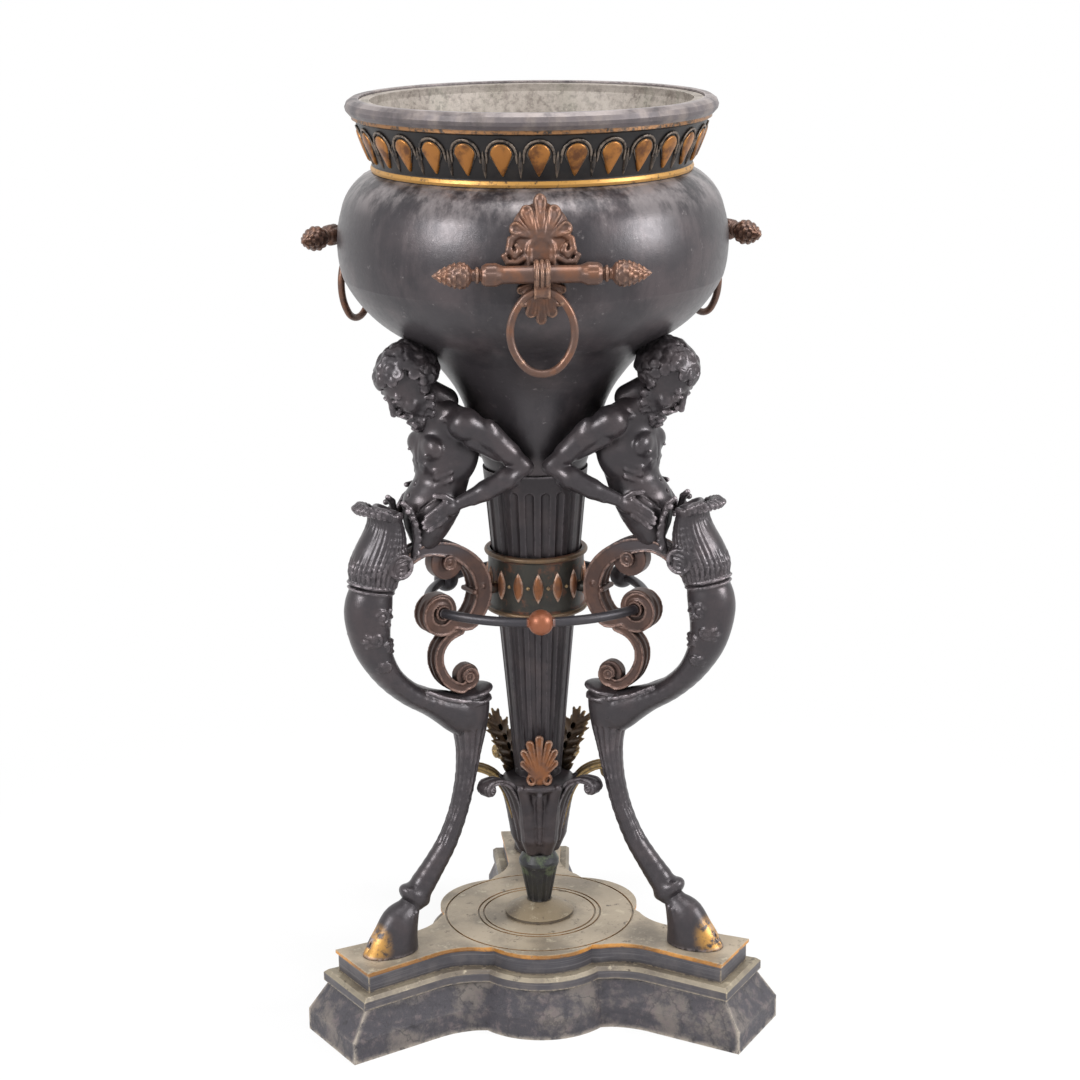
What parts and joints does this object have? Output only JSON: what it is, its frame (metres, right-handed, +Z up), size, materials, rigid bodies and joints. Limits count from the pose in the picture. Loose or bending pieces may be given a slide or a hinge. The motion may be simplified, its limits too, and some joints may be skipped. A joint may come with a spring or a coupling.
{
  "type": "jardiniere on stand",
  "caption": "Round jardiniere with drop-ring handles and a lift-out liner, on a fluted column held by scrolled legs with half-figures above a stepped lobed plinth.",
  "frame": {"origin": "centre of the plinth's underside, on the axis of the column", "axes": "+Z up along the column; the front handle faces -Y; +X to the right seen from the front"},
  "size_m": [0.5338, 0.5173, 1.039],
  "materials": {
    "stone": "dark honed stone with worn beige edges",
    "gilt_bronze": "worn gilt over cast metal",
    "dark_patina": "blue-black bronze patina",
    "brown_patina": "brown-black bronze patina rubbed on the high spots",
    "grey_patina": "dusty grey-brown bronze patina",
    "lip_patina": "mauve-grey rubbed patina",
    "copper_patina": "copper-brown patina",
    "liner_zinc": "dull grey-green oxidised sheet"
  },
  "bodies": {
    "stand": {"base_moulding": "gilt_bronze", "base_plate": "gilt_bronze", "c_scroll_1": "brown_patina", "c_scroll_2": "brown_patina", "c_scroll_3": "brown_patina", "collar": "dark_patina", "column_shaft": "dark_patina", "cup_leaf_1": "copper_patina", "cup_leaf_2": "copper_patina", "cup_leaf_3": "copper_patina", "figure_arm_left_1": "brown_patina", "figure_arm_left_2": "brown_patina", "figure_arm_left_3": "brown_patina", "figure_arm_right_1": "brown_patina", "figure_arm_right_2": "brown_patina", "figure_arm_right_3": "brown_patina", "figure_cup_1": "brown_patina", "figure_cup_2": "brown_patina", "figure_cup_3": "brown_patina", "figure_head_1": "brown_patina", "figure_head_2": "brown_patina", "figure_head_3": "brown_patina", "figure_torso_1": "brown_patina", "figure_torso_2": "brown_patina", "figure_torso_3": "brown_patina", "foot_disc": "dark_patina", "hoof_1": "brown_patina", "hoof_2": "brown_patina", "hoof_3": "brown_patina", "leaf_cup": "dark_patina", "leg_1": "brown_patina", "leg_2": "brown_patina", "leg_3": "brown_patina", "s_scroll_1": "brown_patina", "s_scroll_2": "brown_patina", "s_scroll_3": "brown_patina", "stone_plinth": "stone", "tie_rod_1": "dark_patina", "tie_rod_2": "dark_patina", "tie_rod_3": "dark_patina", "vase_knob": "dark_patina"},
    "bowl_group": {"bowl": "grey_patina", "rim_band": "dark_patina", "rim_lip": "lip_patina", "handle_plate_1": "copper_patina", "handle_bar_1": "copper_patina", "handle_clip_1": "copper_patina", "handle_plate_2": "copper_patina", "handle_bar_2": "copper_patina", "handle_clip_2": "copper_patina", "handle_plate_3": "copper_patina", "handle_bar_3": "copper_patina", "handle_clip_3": "copper_patina"},
    "liner_pail": {"liner": "liner_zinc"},
    "ring_1": {"handle_ring_1": "copper_patina"},
    "ring_2": {"handle_ring_2": "copper_patina"},
    "ring_3": {"handle_ring_3": "copper_patina"}
  },
  "joints": [
    {"name": "bowl_lift", "type": "slide", "parent": "stand", "child": "bowl_group", "axis": [0, 0, 1], "range_m": [0, 0.15]},
    {"name": "liner_lift", "type": "slide", "parent": "bowl_group", "child": "liner_pail", "axis": [0, 0, 1], "range_m": [0, 0.25]},
    {"name": "ring_1_swing", "type": "hinge", "parent": "bowl_group", "child": "ring_1", "pos_m": [0, -0.2263, 0.8662], "axis": [-1, 0, 0], "range_deg": [-15, 85]},
    {"name": "ring_2_swing", "type": "hinge", "parent": "bowl_group", "child": "ring_2", "pos_m": [0.19598, 0.11315, 0.8662], "axis": [0.5, -0.866, 0], "range_deg": [-15, 85]},
    {"name": "ring_3_swing", "type": "hinge", "parent": "bowl_group", "child": "ring_3", "pos_m": [-0.19598, 0.11315, 0.8662], "axis": [0.5, 0.866, 0], "range_deg": [-15, 85]}
  ]
}
